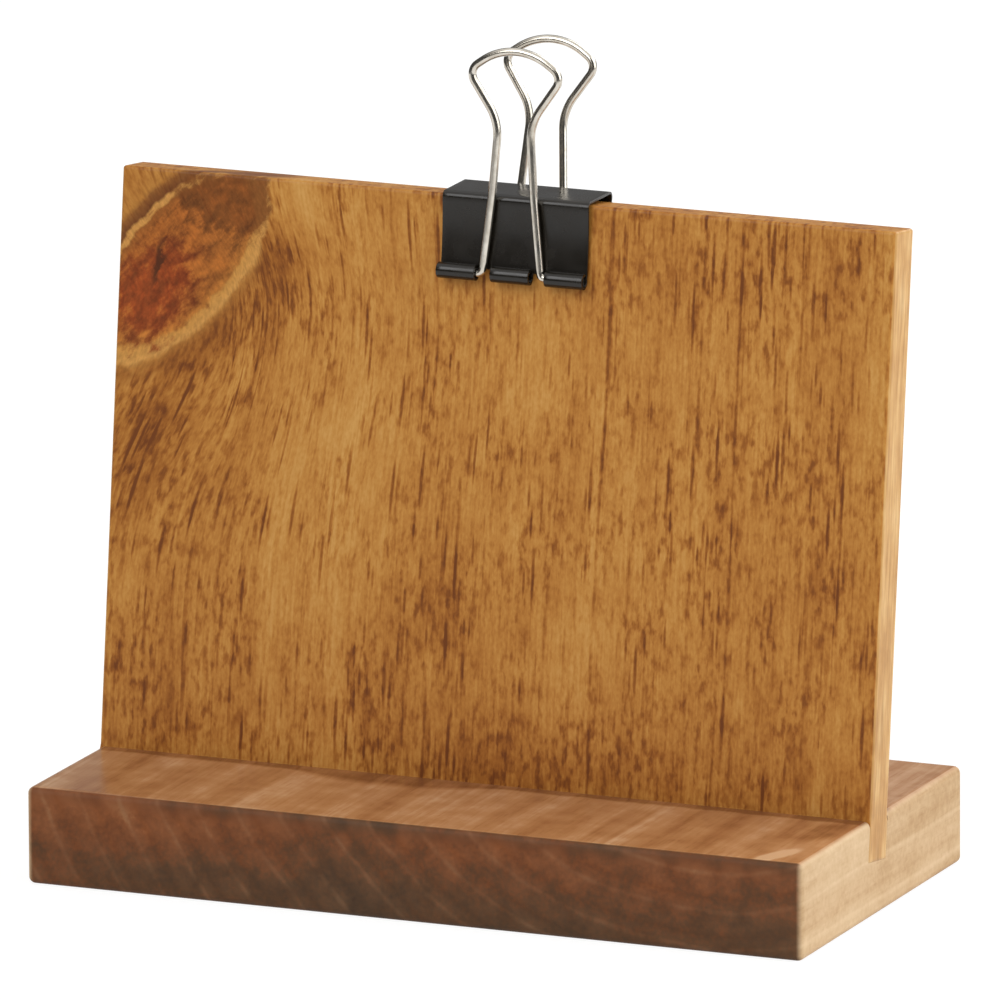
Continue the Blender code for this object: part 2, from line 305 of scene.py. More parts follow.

# Beside the board runs a dark line, painted shadow of the board with stain collected in the joint,
# which widens a little left of the middle.
board_width = BOARD_THICKNESS / math.cos(BOARD_LEAN)
beside = add(tree, "Math", {0: rearward, 1: board_foot.y + board_width / 2}, operation="SUBTRACT")
beside = add(tree, "Math", {0: beside}, operation="ABSOLUTE")
beside = add(tree, "Math", {0: beside, 1: board_width / 2}, operation="SUBTRACT")
widening = add(tree, "Math", {0: across, 1: SHADOW_AND_STAIN_WIDE_AT}, operation="SUBTRACT")
widening = add(tree, "Math", {0: widening}, operation="ABSOLUTE")
widening = add(tree, "MapRange", {
    "Value": widening, 1: 20 * MM, 2: 5 * MM, 3: SHADOW_AND_STAIN_NARROW, 4: SHADOW_AND_STAIN_WIDE,
}, interpolation_type="SMOOTHSTEP")
widening = add(tree, "Math", {
    0: layers["blotch"], 1: SHADOW_AND_STAIN_WAVER, 2: widening,
}, operation="MULTIPLY_ADD")
# The line's darkness is painted shadow, with stain in the joint.
painted_shadow_and_stain = add(tree, "Math", {0: beside, 1: widening}, operation="DIVIDE")
painted_shadow_and_stain = add(tree, "MapRange", {"Value": painted_shadow_and_stain, 1: 1.1, 2: 0.7, 4: -0.5})
for lift in (painted_light_behind_board, painted_shadow_and_stain):
    tone = add(tree, "Math", {0: tone, 1: lift}, operation="ADD")

# Three streaks stand out on the top: a pale one at the right front corner, a dark one behind it and
# a fainter dark one further left. Each is a ragged ellipse, in millimetres: across, rearward, turn in
# degrees, half its length, half its width, and its strength.
TOP_STREAKS = (
    (59, -29.5, 67, 6, 2, 0.6), (60.8, -13.2, 73, 9.5, 3.6, -0.42), (29.8, -21, 90, 12, 4, -0.3),
)
for place_x, place_y, turn, half_length, half_width, strength in TOP_STREAKS:
    mark = add(tree, "Mapping", {
        "Vector": space, "Location": (place_x * MM, place_y * MM, 0),
        "Rotation": (0, 0, math.radians(turn)), "Scale": (half_length * MM, half_width * MM, 1),
    }, vector_type="TEXTURE")
    mark = add(tree, "VectorMath", {0: mark}, out="Value", operation="LENGTH")
    mark = add(tree, "Math", {0: layers["streak"], 1: 0.6, 2: mark}, operation="MULTIPLY_ADD")
    mark = add(tree, "MapRange", {
        "Value": mark, 1: 1.4, 2: 0.7, 4: strength,
    }, interpolation_type="SMOOTHSTEP")
    tone = add(tree, "Math", {0: tone, 1: mark}, operation="ADD")
long_grain = add(tree, "ValToRGB", {"Fac": tone}, stops=LONG_GRAIN)

# End grain: patches, blotches and specks, lighter and redder above a wavering line and to the left.
# The sanded edge at the top is dark again.
rubbed = add(tree, "Math", {0: layers["speck"], 1: 3.4 * MM, 2: level}, operation="MULTIPLY_ADD")
rubbed = add(tree, "MapRange", {"Value": rubbed, 1: 14.9 * MM, 2: 16.7 * MM, 3: 0, 4: -0.22})
height = add(tree, "Math", {0: layers["blotch"], 1: 14 * MM, 2: level}, operation="MULTIPLY_ADD")
height = add(tree, "MapRange", {"Value": height, 1: 11 * MM, 2: 23 * MM, 3: -0.20, 4: 0.16})
redder = add(tree, "MapRange", {"Value": across, 1: -60 * MM, 2: -15 * MM, 3: 0.16, 4: 0})
tone = -0.12
for layer, strength in (
    (layers["blotch"], 0.25), (layers["patch"], 0.6), (layers["speck"], 0.4), (early_wood, 0.1),
):
    tone = add(tree, "Math", {0: layer, 1: strength, 2: tone}, operation="MULTIPLY_ADD")
for lift in (height, redder, rubbed):
    tone = add(tree, "Math", {0: tone, 1: lift}, operation="ADD")
end_grain = add(tree, "ValToRGB", {"Fac": tone}, stops=END_GRAIN)
broken = add(tree, "MapRange", {"Value": layers["blotch"], 1: 0.36, 2: 0.64, 3: 0.02, 4: 0.38})
ring_line = add(tree, "Math", {0: early_wood, 1: broken}, operation="MULTIPLY")
end_grain = add(tree, "Mix", {0: ring_line, 6: end_grain, 7: linear(RING_LINE)}, out=2, data_type="RGBA")

facing = add(tree, "TexCoord", out="Normal")
facing = add(tree, "VectorMath", {0: facing}, operation="ABSOLUTE")
sideways, endways, flat = add(tree, "SeparateXYZ", {0: facing}).node.outputs
sideways = add(tree, "MapRange", {"Value": sideways, 1: 0.15, 2: 0.85})
endways = add(tree, "MapRange", {"Value": endways, 1: 0.2, 2: 0.45})
colour = add(tree, "Mix", {0: endways, 6: long_grain, 7: end_grain}, out=2, data_type="RGBA")
colour = add(tree, "Mix", {0: sideways, 6: colour, 7: side_grain_painted_light}, out=2, data_type="RGBA")
dullness = add(tree, "MapRange", {"Value": flat, 1: 0.85, 2: 0.99, 3: 0.6, 4: 0.24})
relief = add(tree, "Bump", {"Height": pore, "Strength": 0.15, "Distance": -0.03 * MM})
tree.links.new(colour, shader.inputs["Base Color"])
tree.links.new(dullness, shader.inputs["Roughness"])
tree.links.new(relief, shader.inputs["Normal"])
base.data.materials.append(base_wood)
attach(base, "stand")
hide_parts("base")


# Board. One board of the same hardwood, planed thin, with its grain upright. It is stained
# honey brown and lacquered, and stands glued in the base's groove.
BOARD_EDGE = 0.5 * MM
BOARD_GRID = 1 * MM
SQUARED = 0.05
SQUARED_BELOW = -0.6 * MM
board_half = base_high[0]
board_low = np.array([-board_half, 0, GLUE_LINE - GROOVE_DEPTH])
board_high = np.array([board_half, BOARD_THICKNESS, BOARD_RISE])
board_vertices, board_faces = eased_block(
    board_low, board_high, BOARD_EDGE, BOARD_GRID, steps=3, support=0.2 * MM,
)


def square_in_groove(points):
    """Squares the board's eased edges where they are glued in the groove, so that the joint closes:
    the rounding's unit normal is raised to a small power, which turns a quarter round to a corner."""
    inner = np.clip(points, board_low + BOARD_EDGE, board_high - BOARD_EDGE)
    normal = (points - inner) / BOARD_EDGE
    power = np.interp(points[:, 2], (SQUARED_BELOW, 0), (SQUARED, 1))[:, None]
    return inner + BOARD_EDGE * np.sign(normal) * np.abs(normal) ** power


board_vertices = square_in_groove(board_vertices)
board = new_piece("board", board_vertices, board_faces, board_place)

# A spike knot crosses the board's upper left corner: an ellipse that rises to the right. The grain
# swings out round it, most at its middle, and less the further it passes. Places on the board are
# in millimetres: across from its middle, and up from the base.
KNOT_MIDDLE = (-54.7, 76.9)
KNOT_RISE = math.radians(48)
KNOT_HALF = (19.0, 8.8)
KNOT_DRIFT = (0.5, -0.7)
SWING_MOST = 13.0
SWING_AT = (-36.0, 70.0)
SWING_THERE = 7.5
SWING_FADE = 18.0
SWING_BELOW = 24.0
SWING_ABOVE = 16.0


def grain_of_board(points):
    """Grain coordinates of points on the board, in millimetres: across the grain, through the board
    and along the grain. Across is the distance from the middle, less the grain's swing round the
    knot, which fades exponentially to the right and as a bell curve up and down the board."""
    across, depth, along = points.T
    lift = along - SWING_AT[1]
    reach = np.where(lift < 0, SWING_BELOW, SWING_ABOVE)
    swing = SWING_THERE * np.exp((SWING_AT[0] - across) / SWING_FADE)
    swing = np.minimum(swing, SWING_MOST) * np.exp(-((lift / reach) ** 2))
    return np.stack([across - swing, depth, along], 1)


def knot_of_board(points):
    """Knot coordinates of the same points: the ellipse's radius, which is 1 on its rim, and the
    distances in millimetres along and across its long axis. The knot drifts with the depth."""
    across, depth, along = points.T
    aside = across - KNOT_MIDDLE[0] - KNOT_DRIFT[0] * depth
    lift = along - KNOT_MIDDLE[1] - KNOT_DRIFT[1] * depth
    length = aside * math.cos(KNOT_RISE) + lift * math.sin(KNOT_RISE)
    width = lift * math.cos(KNOT_RISE) - aside * math.sin(KNOT_RISE)
    return np.stack([np.hypot(length / KNOT_HALF[0], width / KNOT_HALF[1]), length, width], 1)


# Patches where the wood took more or less stain, and those of the knot's core and tip: across, up,
# half their width, half their height, and their strength.
STAIN_PATCHES = (
    (-59, 49, 11, 12, -0.24), (-54, 10, 14, 16, -0.12), (-35, 88, 6, 6, 0.16), (-27, 53, 16, 8, 0.10),
    (-32, 34, 11, 11, 0.08), (7, 67, 7, 8, 0.10), (-19, 15, 6, 10, -0.15), (-8, 26, 7, 7, -0.13),
    (2, 2, 14, 6, -0.20), (30, 3, 40, 8, -0.14), (56, 36, 4, 5, -0.16), (42, 86, 20, 9, -0.07),
    (-38, 78, 4.5, 7, -0.34), (-43, 71, 3.5, 4, -0.24), (-47, 66.5, 4.5, 3.5, -0.34),
    (-53, 62, 5, 3, -0.30), (-43, 56.5, 0.9, 0.9, -0.5), (42, 40, 22, 40, -0.04),
)
CORE_PATCHES = ((-60.5, 71.0, 7.0, 7.5, 1.0), (-55, 77, 5, 5, 0.45))
TIP_PATCHES = ((-47.5, 87.5, 8.0, 5.0, 1.2), (-43.0, 86.5, 3.0, 4.5, 0.7))


def patches_of_board(points, patches):
    """The sum of some patches at each point, each of them a bell curve both ways."""
    middle_x, middle_u, wide, tall, strength = np.array(patches).T
    reach = ((points[:, :1] - middle_x) / wide) ** 2 + ((points[:, 2:] - middle_u) / tall) ** 2
    return (strength * np.exp(-reach)).sum(1)


def set_attribute(piece, name, values):
    """Stores one vector for each vertex of a piece."""
    layer = piece.data.attributes.new(name, "FLOAT_VECTOR", "POINT")
    layer.data.foreach_set("vector", values.astype(np.float32).ravel())


def mesh_points(piece):
    """All vertices of a piece as one array."""
    points = np.empty(3 * len(piece.data.vertices), np.float32)
    piece.data.vertices.foreach_get("co", points)
    return points.reshape(-1, 3).astype(float)


from_board = np.array(board_place.inverted())
board_points = (mesh_points(board) @ from_board[:3, :3].T + from_board[:3, 3]) / MM
patch_sets = (STAIN_PATCHES, CORE_PATCHES, TIP_PATCHES)
board_tints = [patches_of_board(board_points, patches) for patches in patch_sets]
set_attribute(board, "grain", grain_of_board(board_points))
set_attribute(board, "knot", knot_of_board(board_points))
set_attribute(board, "tints", np.stack(board_tints, 1))

# Honey stained hardwood under satin lacquer. The eye sees light wood mottled brown, with vessels as
# short dark dashes along the grain, denser to the right and low down. The knot is red brown, with a
# pale line along both sides and darker wood beyond it. Sizes and places are in millimetres.
BOARD_TONES = [
    (0.0, "#6C3912"), (0.2, "#834B18"), (0.4, "#9A5F22"), (0.58, "#AE7431"), (0.75, "#BA833D"),
    (1.0, "#C69550"),
]
KNOT_ABOVE = [
    (0.0, "#94531E"), (0.40, "#92521D"), (0.465, "#8A501E"), (0.485, "#BD8743"), (0.52, "#BF8A46"),
    (0.545, "#643516"), (0.62, "#70401A"), (0.67, "#A97230"), (0.80, "#9A642B"),
]
KNOT_BELOW = [
    (0.0, "#94531E"), (0.36, "#965720"), (0.425, "#A06428"), (0.455, "#BA8540"), (0.53, "#C08C48"),
    (0.57, "#A06A2E"), (0.62, "#8A541F"), (0.80, "#96602A"),
]
KNOT_CORE = "#80310F"
KNOT_TIP = "#6E3A12"
CRACK = "#3C170A"
CRACK_TURN = math.radians(-33)
CRACK_PLACE = (0, -0.7, 3.6)
WOBBLE_SIZE = 2.857
FIGURE_LONG, FIGURE_WIDE = 3.4, 1.7
VESSEL_DEPTH = 3
# The sides' colours are paler than the faces' as painted light from the right.
BOARD_SIDES_PAINTED_LIGHT = [(0.36, "#AE8148"), (0.5, "#C39A60"), (0.64, "#D6B47E")]

board_wood, tree, shader = new_material("honey_stained_hardwood", Roughness=0.42, Specular_IOR_Level=0.22)
grain = add(tree, "Attribute", out="Vector", attribute_name="grain")
tints = add(tree, "Attribute", out="Vector", attribute_name="tints")
stain = add(tree, "SeparateXYZ", {0: tints}, out="X")

# Each layer is a noise whose marks are so many millimetres across, through and along the grain.
layers = {}
for name, wide, long, detail in (
    ("band", 10, 70, 2), ("patch", 8, 15, 3), ("cloud", 3.0, 7.0, 3), ("line", 1.3, 45, 2),
    ("mottle", 1.1, 2.8, 3), ("fibre", 0.6, 11, 2), ("grit", 0.5, 1.0, 2),
):
    scaled = add(tree, "Mapping", {"Vector": grain, "Scale": (1 / wide, 1 / wide, 1 / long)})
    layers[name] = add(tree, "TexNoise", {"Vector": scaled, "Scale": 1, "Detail": detail})
crowd = add(tree, "MapRange", {"Value": layers["patch"], 1: 0.36, 2: 0.64, 3: 0.15})
vessels = add(tree, "Math", {0: stain, 1: -0.6, 2: crowd}, operation="MULTIPLY_ADD", use_clamp=True)
crowd = add(tree, "Math", {0: stain, 1: -1.8, 2: crowd}, operation="MULTIPLY_ADD", use_clamp=True)
mottle = add(tree, "MapRange", {
    "Value": layers["mottle"], 1: 0.44, 2: 0.68,
}, interpolation_type="SMOOTHSTEP")
mottle = add(tree, "Math", {0: mottle, 1: crowd}, operation="MULTIPLY")
line = add(tree, "MapRange", {"Value": layers["line"], 1: 0.40, 2: 0.26}, interpolation_type="SMOOTHSTEP")
tone = -0.37
for layer, strength in (
    (layers["band"], 0.6), (layers["fibre"], 0.50), (layers["grit"], 0.50), (layers["cloud"], 0.52),
    (mottle, -0.40), (line, -0.24),
):
    tone = add(tree, "Math", {0: layer, 1: strength, 2: tone}, operation="MULTIPLY_ADD")
tone = add(tree, "Math", {0: stain, 1: tone}, operation="ADD")

# A few dark lines follow the grain over the board's whole height, each stronger and weaker by turns.
# Each has its place across in millimetres, and its darkness.
GRAIN_LINES = ((17.8, 0.44), (33.4, 0.30), (39.6, 0.26))
grain_across = add(tree, "SeparateXYZ", {0: grain}, out="X")
grain_across = add(tree, "Math", {0: layers["band"], 1: 2.0, 2: grain_across}, operation="MULTIPLY_ADD")
by_turns = add(tree, "MapRange", {"Value": layers["cloud"], 1: 0.62, 2: 0.40, 3: 0.3, 4: 1.0})
for place, dark in GRAIN_LINES:
    aside = add(tree, "Math", {0: grain_across, 1: place + 1.0}, operation="SUBTRACT")
    aside = add(tree, "Math", {0: aside}, operation="ABSOLUTE")
    long_line = add(tree, "MapRange", {"Value": aside, 1: 0.42, 2: 0.1, 4: dark})
    long_line = add(tree, "Math", {0: long_line, 1: by_turns}, operation="MULTIPLY")
    tone = add(tree, "Math", {0: tone, 1: long_line}, operation="SUBTRACT")

# Vessels are stretched cells of a Voronoi pattern. Only a share of the cells holds a dash.
dashes = None
for wide, long, share, depth in ((1.0, 15, 0.26, 0.50), (0.8, 7, 0.26, 0.34)):
    scaled = add(tree, "Mapping", {"Vector": grain, "Scale": (1 / wide, 1 / VESSEL_DEPTH, 1 / long)})
    cell = add(tree, "TexVoronoi", {"Vector": scaled, "Scale": 1}, out="Distance")
    dash = add(tree, "MapRange", {"Value": cell, 1: 0.42, 2: 0.14}, interpolation_type="SMOOTHSTEP")
    chance = add(tree, "SeparateColor", {0: cell.node.outputs["Color"]})
    chance = add(tree, "Math", {0: vessels, 1: share, 2: chance}, operation="MULTIPLY_ADD")
    chance = add(tree, "MapRange", {"Value": chance, 1: 0.77, 2: 1.02})
    dash = add(tree, "Math", {0: dash, 1: chance}, operation="MULTIPLY")
    tone = add(tree, "Math", {0: dash, 1: -depth, 2: tone}, operation="MULTIPLY_ADD")
    dashes = dash if dashes is None else add(tree, "Math", {0: dashes, 1: dash}, operation="MAXIMUM")
plain = add(tree, "ValToRGB", {"Fac": tone}, stops=BOARD_TONES)

# The knot's colours run outwards over its wobbling rim, and are other ones above its long axis than
# below it. Its core and its tip are tinted in ragged patches, and a short crack runs through it.
knot = add(tree, "Attribute", out="Vector", attribute_name="knot")
rim, length, width = add(tree, "SeparateXYZ", {0: knot}).node.outputs
wobble = add(tree, "TexNoise", {"Vector": grain, "Scale": 1 / WOBBLE_SIZE, "Detail": 3})
rim = add(tree, "Math", {0: wobble, 1: 0.2, 2: rim}, operation="MULTIPLY_ADD")
rim = add(tree, "Math", {0: rim, 1: 0.1}, operation="SUBTRACT")
half_rim = add(tree, "Math", {0: rim, 1: 0.5}, operation="MULTIPLY")
above_knot = add(tree, "ValToRGB", {"Fac": half_rim}, stops=KNOT_ABOVE)
below_knot = add(tree, "ValToRGB", {"Fac": half_rim}, stops=KNOT_BELOW)
upper = add(tree, "MapRange", {"Value": width, 1: -2, 2: 2})
knot_wood = add(tree, "Mix", {0: upper, 6: below_knot, 7: above_knot}, out=2, data_type="RGBA")
figure = add(tree, "Mapping", {"Vector": knot, "Scale": (0, 1 / FIGURE_LONG, 1 / FIGURE_WIDE)})
figure = add(tree, "TexNoise", {"Vector": figure, "Scale": 1, "Detail": 4, "Roughness": 0.65})
ragged = add(tree, "Math", {0: figure, 1: -2.2, 2: 1.1}, operation="MULTIPLY_ADD")
for axis, colour in (("Y", KNOT_CORE), ("Z", KNOT_TIP)):
    tint = add(tree, "SeparateXYZ", {0: tints}, out=axis)
    tint = add(tree, "Math", {0: tint, 1: ragged}, operation="ADD")
    tint = add(tree, "MapRange", {
        "Value": tint, 1: 0.2, 2: 0.8, 4: 0.88,
    }, interpolation_type="SMOOTHSTEP")
    knot_wood = add(tree, "Mix", {0: tint, 6: knot_wood, 7: linear(colour)}, out=2, data_type="RGBA")
depth = add(tree, "MapRange", {"Value": figure, 1: 0.36, 2: 0.64, 3: 0.62, 4: 1.42})
inside = add(tree, "MapRange", {"Value": rim, 1: 0.94, 2: 0.82}, interpolation_type="SMOOTHSTEP")
depth = add(tree, "Mix", {0: inside, 2: 1.0, 3: depth})
knot_wood = add(tree, "VectorMath", {0: knot_wood, "Scale": depth}, operation="SCALE")
fleck = add(tree, "MapRange", {"Value": layers["grit"], 1: 0.35, 2: 0.65, 3: 0.86, 4: 1.14})
knot_wood = add(tree, "VectorMath", {0: knot_wood, "Scale": fleck}, operation="SCALE")
crack = add(tree, "Mapping", {"Vector": knot, "Scale": (0, 1, 1), "Rotation": (CRACK_TURN, 0, 0)})
crack = add(tree, "VectorMath", {0: crack, 1: CRACK_PLACE}, operation="SUBTRACT")
crack = add(tree, "VectorMath", {0: ragged, 1: (0, 0, 1.5), 2: crack}, operation="MULTIPLY_ADD")
crack = add(tree, "VectorMath", {0: crack, 1: (0, 0.19, 1.5)}, operation="MULTIPLY")
crack = add(tree, "VectorMath", {0: crack}, out="Value", operation="LENGTH")
crack = add(tree, "MapRange", {"Value": crack, 1: 1.1, 2: 0.4, 4: 0.9})
knot_wood = add(tree, "Mix", {0: crack, 6: knot_wood, 7: linear(CRACK)}, out=2, data_type="RGBA")

# The knot fades into the wood beyond its rim, widely above it and hardly at all round its tip.
margin = add(tree, "MapRange", {"Value": length, 1: 8, 2: 13, 3: 0.4, 4: 0.06})
margin = add(tree, "Mix", {0: upper, 2: margin, 3: 0.7})
beyond = add(tree, "Math", {0: rim, 1: 1.03}, operation="SUBTRACT")
beyond = add(tree, "Math", {0: beyond, 1: margin}, operation="DIVIDE")
in_knot = add(tree, "MapRange", {
    "Value": beyond, 1: 1, 2: 0, 4: 0.94,
}, interpolation_type="SMOOTHSTEP")
colour = add(tree, "Mix", {0: in_knot, 6: plain, 7: knot_wood}, out=2, data_type="RGBA")

# The board's two narrow sides are painted paler than its faces: painted light, as if lit strongly from
# the right.
facing = add(tree, "TexCoord", out="Normal")
facing = add(tree, "VectorMath", {0: facing}, operation="ABSOLUTE")
sideways = add(tree, "SeparateXYZ", {0: facing}, out="X")
sideways = add(tree, "MapRange", {"Value": sideways, 1: 0.45, 2: 0.75, 4: 0.8})
sides = add(tree, "Math", {0: layers["cloud"], 1: layers["fibre"]}, operation="ADD")
sides = add(tree, "Math", {0: sides, 1: 0.5}, operation="MULTIPLY")
sides = add(tree, "ValToRGB", {"Fac": sides}, stops=BOARD_SIDES_PAINTED_LIGHT)
colour = add(tree, "Mix", {0: sideways, 6: colour, 7: sides}, out=2, data_type="RGBA")
relief = add(tree, "Bump", {"Height": dashes, "Strength": 0.2, "Distance": -0.04 * MM})
tree.links.new(colour, shader.inputs["Base Color"])
tree.links.new(relief, shader.inputs["Normal"])
board.data.materials.append(board_wood)
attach(board, "stand")
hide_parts("back_board")


# Clip strip. One strip of spring steel, folded over the board's edge and rolled into sleeves along
# both long edges, then coated with black enamel. It is drawn as two halves that meet along the
# middle of the spine, one for each jaw.
JOINTS = {joint["name"]: joint for joint in frame["joints"]}
STRIP_WIDTH = 24.5 * MM
STRIP_THICKNESS = 0.4 * MM
STRIP_EASING = 0.06 * MM
SHARP_ANGLE = math.radians(50)
BEND_RADIUS = 0.8 * MM
LEAF_BOW = 0.26 * MM
SLEEVE_RADIUS = 1.05 * MM
ROLL_ANGLE = math.radians(285)
NOTCH_INNER = 3.2 * MM
NOTCH_OUTER = 5.85 * MM
NOTCH_RISE = 0.5 * MM
NOTCH_CORNER = 0.6 * MM
CORNER_MOST = NOTCH_RISE * 0.9
NEARLY_ZERO = 1e-9
SPINE_STEPS, FOLD_STEPS, LEAF_STEPS, ROLL_STEPS = 5, 12, 15, 40
MIDDLE_STEPS, NOTCH_STEPS, OUTER_STEPS = 3, 8, 7
FRONT, REAR = -1, 1


def in_clip(point):
    """A point of the holder as (rearward, up) from the middle of the board's top edge."""
    local = board_place.inverted() @ Vector(point)
    return np.array([local.y - BOARD_THICKNESS / 2, local.z - BOARD_RISE])


def crossing_lean(reach, apart):
    """How far off upright a line leans that crosses between two circles and touches both: reach is
    the way from one's centre to the other's, and apart the sum of their radii."""
    return math.asin(apart / np.linalg.norm(reach)) - math.atan2(reach[0], -reach[1])


def strip_line(bend, other_bend, pivot):
    """Middle line of half the strip as (outward, up) points: from the middle of the back straight to
    the bend, round it, down the leaf, which is the tangent that crosses from the bend's circle to
    the sleeve's, bowed in by half a sine wave because the board springs it open, and round the
    sleeve. Also returns how many points come before the notch root."""
    lean = crossing_lean(pivot - bend, BEND_RADIUS + SLEEVE_RADIUS)
    outward = np.array([math.cos(lean), -math.sin(lean)])
    down = np.array([-math.sin(lean), -math.cos(lean)])
    back = (bend - other_bend) / np.linalg.norm(bend - other_bend)
    over = BEND_RADIUS * np.array([-back[1], back[0]])
    spine = np.linspace((bend + other_bend) / 2 + over, bend + over, SPINE_STEPS + 1)[:-1]
    turn = np.linspace(math.atan2(over[1], over[0]), -lean, FOLD_STEPS + 1)[:, None]
    fold = bend + BEND_RADIUS * np.concatenate([np.cos(turn), np.sin(turn)], 1)
    leaf_end = pivot - SLEEVE_RADIUS * outward
    share = np.linspace(0, 1, LEAF_STEPS + 1)[1:, None]
    leaf = fold[-1] + (leaf_end - NOTCH_RISE * down - fold[-1]) * share
    leaf = leaf - LEAF_BOW * np.sin(math.pi * share) * outward
    roll_turn = np.linspace(0, ROLL_ANGLE, ROLL_STEPS + 1)[:, None]
    roll = pivot + SLEEVE_RADIUS * (np.sin(roll_turn) * down - np.cos(roll_turn) * outward)
    return np.concatenate([spine, fold, leaf, roll]), len(spine) + len(fold) + len(leaf)


def strip_half(name, side, bend, other_bend, pivot):
    """Half of the strip as a grid of line points by stations across its width, thickened to a sheet.
    The faces of the roll are left out in the two notches, whose inner corners are rounded."""
    line, root = strip_line(bend, other_bend, pivot)
    half = np.concatenate([
        np.linspace(0, NOTCH_INNER, MIDDLE_STEPS + 1)[:-1],
        np.linspace(NOTCH_INNER, NOTCH_OUTER, NOTCH_STEPS + 1),
        np.linspace(NOTCH_OUTER, STRIP_WIDTH / 2, OUTER_STEPS + 1)[1:],
    ])
    across = np.concatenate([-half[:0:-1], half])
    grid = np.empty((len(line), len(across), 3))
    grid[..., 0] = across
    grid[..., 1:] = line[:, None]
    grid[..., 1] *= side
    depth = np.minimum(np.abs(across) - NOTCH_INNER, NOTCH_OUTER - np.abs(across))
    inset = NOTCH_CORNER - np.clip(depth, 0, NOTCH_CORNER)
    corner = NOTCH_CORNER - np.sqrt(NOTCH_CORNER ** 2 - inset ** 2)
    down = (grid[root, 0] - grid[root - 1, 0]) / np.linalg.norm(grid[root, 0] - grid[root - 1, 0])
    in_notch = depth > NEARLY_ZERO
    grid[root - 1, in_notch] += np.minimum(corner[in_notch], CORNER_MOST)[:, None] * down
    index = np.arange(grid.shape[0] * grid.shape[1]).reshape(grid.shape[:2])
    quads = np.stack([index[:-1, :-1], index[:-1, 1:], index[1:, 1:], index[1:, :-1]], -1)
    middle = np.abs(across[:-1] + across[1:]) / 2
    kept = np.ones(quads.shape[:2], bool)
    kept[root - 1:, (middle > NOTCH_INNER) & (middle < NOTCH_OUTER)] = False
    used, faces = np.unique(quads[kept], return_inverse=True)
    vertices = grid.reshape(-1, 3)[used]
    vertices = vertices + np.array([clip_middle, BOARD_THICKNESS / 2, BOARD_RISE])
    piece = new_piece(name, vertices, faces.reshape(-1, 4).tolist(), board_place)
    sheet = piece.modifiers.new("sheet", "SOLIDIFY")
    sheet.thickness = STRIP_THICKNESS
    sheet.offset = 0
    sheet.use_even_offset = True
    finish_mesh(piece, SHARP_ANGLE)
    ease_rim(piece)
    return piece


def ease_rim(piece):
    """Rounds the sheet's sharp edges, but not along the seam, where the two halves meet flush."""
    ends = np.empty(2 * len(piece.data.edges), np.int32)
    piece.data.edges.foreach_get("vertices", ends)
    sharp = np.empty(len(piece.data.edges), bool)
    piece.data.attributes["sharp_edge"].data.foreach_get("value", sharp)
    off_seam = np.abs(mesh_points(piece)[ends.reshape(-1, 2), 1] - seam_place) > STRIP_EASING
    weight = piece.data.attributes.new("bevel_weight_edge", "FLOAT", "EDGE")
    weight.data.foreach_set("value", (sharp & off_seam.any(1)).astype(np.float32))
    eased = piece.modifiers.new("eased edges", "BEVEL")
    eased.width = STRIP_EASING
    eased.segments = 2
    eased.limit_method = "WEIGHT"
    finish_mesh(piece, SHARP_ANGLE)


clip_middle = JOINTS["front_jaw_flex"]["pos_m"][0]
seam_place = (JOINTS["front_jaw_flex"]["pos_m"][1] + JOINTS["rear_jaw_flex"]["pos_m"][1]) / 2

# Black baking enamel, smooth and glossy, with the faint orange peel of a sprayed coat. Its marks are
# in millimetres, like the place of each vertex at rest.
PEEL_SIZE = 0.4545
HAZE_SIZE = 4
enamel, tree, shader = new_material("black_enamelled_spring_steel", Specular_IOR_Level=0.44)
rest = add(tree, "Attribute", out="Vector", attribute_name="rest")
peel = add(tree, "TexNoise", {"Vector": rest, "Scale": 1 / PEEL_SIZE, "Detail": 1})
haze = add(tree, "TexNoise", {"Vector": rest, "Scale": 1 / HAZE_SIZE, "Detail": 3})
coat = add(tree, "ValToRGB", {"Fac": haze}, stops=[(0.3, "#15110B"), (0.7, "#1B160F")])
gloss = add(tree, "MapRange", {"Value": haze, 1: 0.3, 2: 0.7, 3: 0.2, 4: 0.32})
relief = add(tree, "Bump", {"Height": peel, "Strength": 0.12, "Distance": 0.02 * MM})
tree.links.new(coat, shader.inputs["Base Color"])
tree.links.new(gloss, shader.inputs["Roughness"])
tree.links.new(relief, shader.inputs["Normal"])
HALVES = (
    ("strip_front", FRONT, "front_jaw", "front_arm_fold", ("clip_spine", "clip_front_jaw")),
    ("strip_rear", REAR, "rear_jaw", "rear_arm_fold", ("clip_rear_jaw",)),
)
bends = [in_clip(JOINTS[flex]["pos_m"]) for flex in ("front_jaw_flex", "rear_jaw_flex")]
for (name, side, jaw, fold, nodes), bend, other_bend in zip(HALVES, bends, bends[::-1]):
    outward = np.array([side, 1])
    pivot = in_clip(JOINTS[fold]["pos_m"]) * outward
    half_strip = strip_half(name, side, bend * outward, other_bend * outward, pivot)
    half_strip.data.materials.append(enamel)
    set_attribute(half_strip, "rest", mesh_points(half_strip) / MM)
    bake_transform(half_strip)
    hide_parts(*nodes)


# Wire arms. Each is one length of spring wire, bent to a pear-shaped loop and nickel plated. Its
# two feet turn outwards and sit in the outer sleeves, so that the arm can fold down.
WIRE_RADIUS = 0.65 * MM
STRIP_OUTSIDE = BEND_RADIUS + STRIP_THICKNESS / 2
ARM_GAP = 0.3 * MM
FOOT_TIP = 11.45 * MM
TIP_LENGTH = WIRE_RADIUS * 0.5
WIRE_STATIONS, WIRE_SIDES, TIP_STEPS, ARC_STATIONS = 300, 20, 5, 20
WIRE_CORNERS = np.array([
    (4.9, 0.0, 0.9),
    (3.5, 12.5, 20.0),
    (2.65, 23.9, 8.0),
    (7.95, 31.6, 2.0),
    (0.0, 37.2, 9.6),
]) * MM


